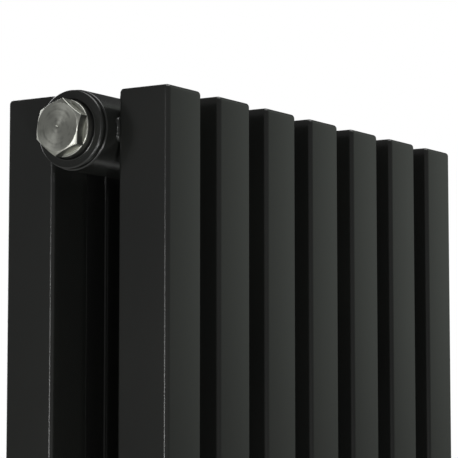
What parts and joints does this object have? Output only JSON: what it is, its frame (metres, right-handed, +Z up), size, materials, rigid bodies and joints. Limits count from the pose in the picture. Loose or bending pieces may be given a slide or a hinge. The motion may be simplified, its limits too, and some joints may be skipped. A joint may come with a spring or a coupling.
{
  "type": "vertical radiator with valves",
  "caption": "Double vertical tube radiator with round headers, blanking plug, air vent, angled wheel and lockshield valves, and clamp-on wall brackets.",
  "frame": {"origin": "centre of the wall screw pattern, on the plane of the wall, half way up the tubes", "axes": "+X along the headers to the right as seen from the room, +Y into the wall, +Z up"},
  "size_m": [0.3835, 0.118, 1.6164],
  "materials": {
    "satin_black_enamel": "satin powder coat",
    "bracket_black": "matt powder coat",
    "turned_nickel": "turned, nickel plated",
    "polished_chrome": "polished",
    "zinc_plated_steel": "zinc plated",
    "brass": "machined",
    "black_rubber": "matt",
    "black_plastic": "fine moulded texture"
  },
  "bodies": {
    "radiator": {"back_row_bottom_caps": "satin_black_enamel", "back_row_top_caps": "satin_black_enamel", "back_tube_1": "satin_black_enamel", "back_tube_2": "satin_black_enamel", "back_tube_3": "satin_black_enamel", "back_tube_4": "satin_black_enamel", "back_tube_5": "satin_black_enamel", "back_tube_6": "satin_black_enamel", "back_tube_7": "satin_black_enamel", "blanking_plug": "turned_nickel", "blanking_plug_seal": "black_rubber", "bottom_header": "satin_black_enamel", "bottom_left_bush": "satin_black_enamel", "bottom_right_bush": "satin_black_enamel", "clamp_jaws": "bracket_black", "clamp_screws": "zinc_plated_steel", "compression_nuts": "polished_chrome", "flow_baffle": "satin_black_enamel", "front_row_bottom_caps": "satin_black_enamel", "front_row_top_caps": "satin_black_enamel", "front_tube_1": "satin_black_enamel", "front_tube_2": "satin_black_enamel", "front_tube_3": "satin_black_enamel", "front_tube_4": "satin_black_enamel", "front_tube_5": "satin_black_enamel", "front_tube_6": "satin_black_enamel", "front_tube_7": "satin_black_enamel", "lockshield_cap": "black_plastic", "lockshield_valve_body": "polished_chrome", "lockshield_valve_bonnet": "polished_chrome", "lockshield_valve_o_ring": "black_rubber", "lockshield_valve_tail": "polished_chrome", "olives": "brass", "tail_seals": "black_rubber", "top_header": "satin_black_enamel", "top_left_bush": "satin_black_enamel", "top_right_bush": "satin_black_enamel", "union_nuts": "polished_chrome", "vent_plug": "turned_nickel", "vent_plug_seal": "black_rubber", "wall_bracket_bottom_left": "bracket_black", "wall_bracket_bottom_right": "bracket_black", "wall_bracket_top_left": "bracket_black", "wall_bracket_top_right": "bracket_black", "wheel_valve_body": "polished_chrome", "wheel_valve_bonnet": "polished_chrome", "wheel_valve_o_ring": "black_rubber", "wheel_valve_tail": "polished_chrome"},
    "hand_wheel": {"hand_wheel": "black_plastic", "hand_wheel_screw": "zinc_plated_steel", "wheel_valve_spindle": "brass"},
    "wheel_valve_plug": {"wheel_valve_plug": "brass", "wheel_valve_washer": "black_rubber"},
    "lockshield_spindle": {"lockshield_valve_spindle": "brass"},
    "lockshield_valve_plug": {"lockshield_valve_plug": "brass", "lockshield_valve_washer": "black_rubber"},
    "bleed_screw": {"bleed_screw": "turned_nickel"}
  },
  "joints": [
    {"name": "hand_wheel_turn", "type": "hinge", "parent": "radiator", "child": "hand_wheel", "pos_m": [-0.176, -0.0765, -0.783], "axis": [0, 0, 1], "range_deg": [0, 540]},
    {"name": "wheel_valve_lift", "type": "slide", "parent": "radiator", "child": "wheel_valve_plug", "axis": [0, 0, 1], "range_m": [0, 0.00226]},
    {"name": "lockshield_turn", "type": "hinge", "parent": "radiator", "child": "lockshield_spindle", "pos_m": [0.176, -0.0765, -0.783], "axis": [0, 0, 1], "range_deg": [0, 540]},
    {"name": "lockshield_valve_lift", "type": "slide", "parent": "radiator", "child": "lockshield_valve_plug", "axis": [0, 0, 1], "range_m": [0, 0.00226]},
    {"name": "bleed_screw_turn", "type": "hinge", "parent": "radiator", "child": "bleed_screw", "pos_m": [0.1375, -0.0765, 0.783], "axis": [1, 0, 0], "range_deg": [0, 360]}
  ],
  "couplings": [
    {"joint": "wheel_valve_lift", "follows": "hand_wheel_turn", "m_per_rad": 0.00023873},
    {"joint": "lockshield_valve_lift", "follows": "lockshield_turn", "m_per_rad": 0.00023873}
  ]
}
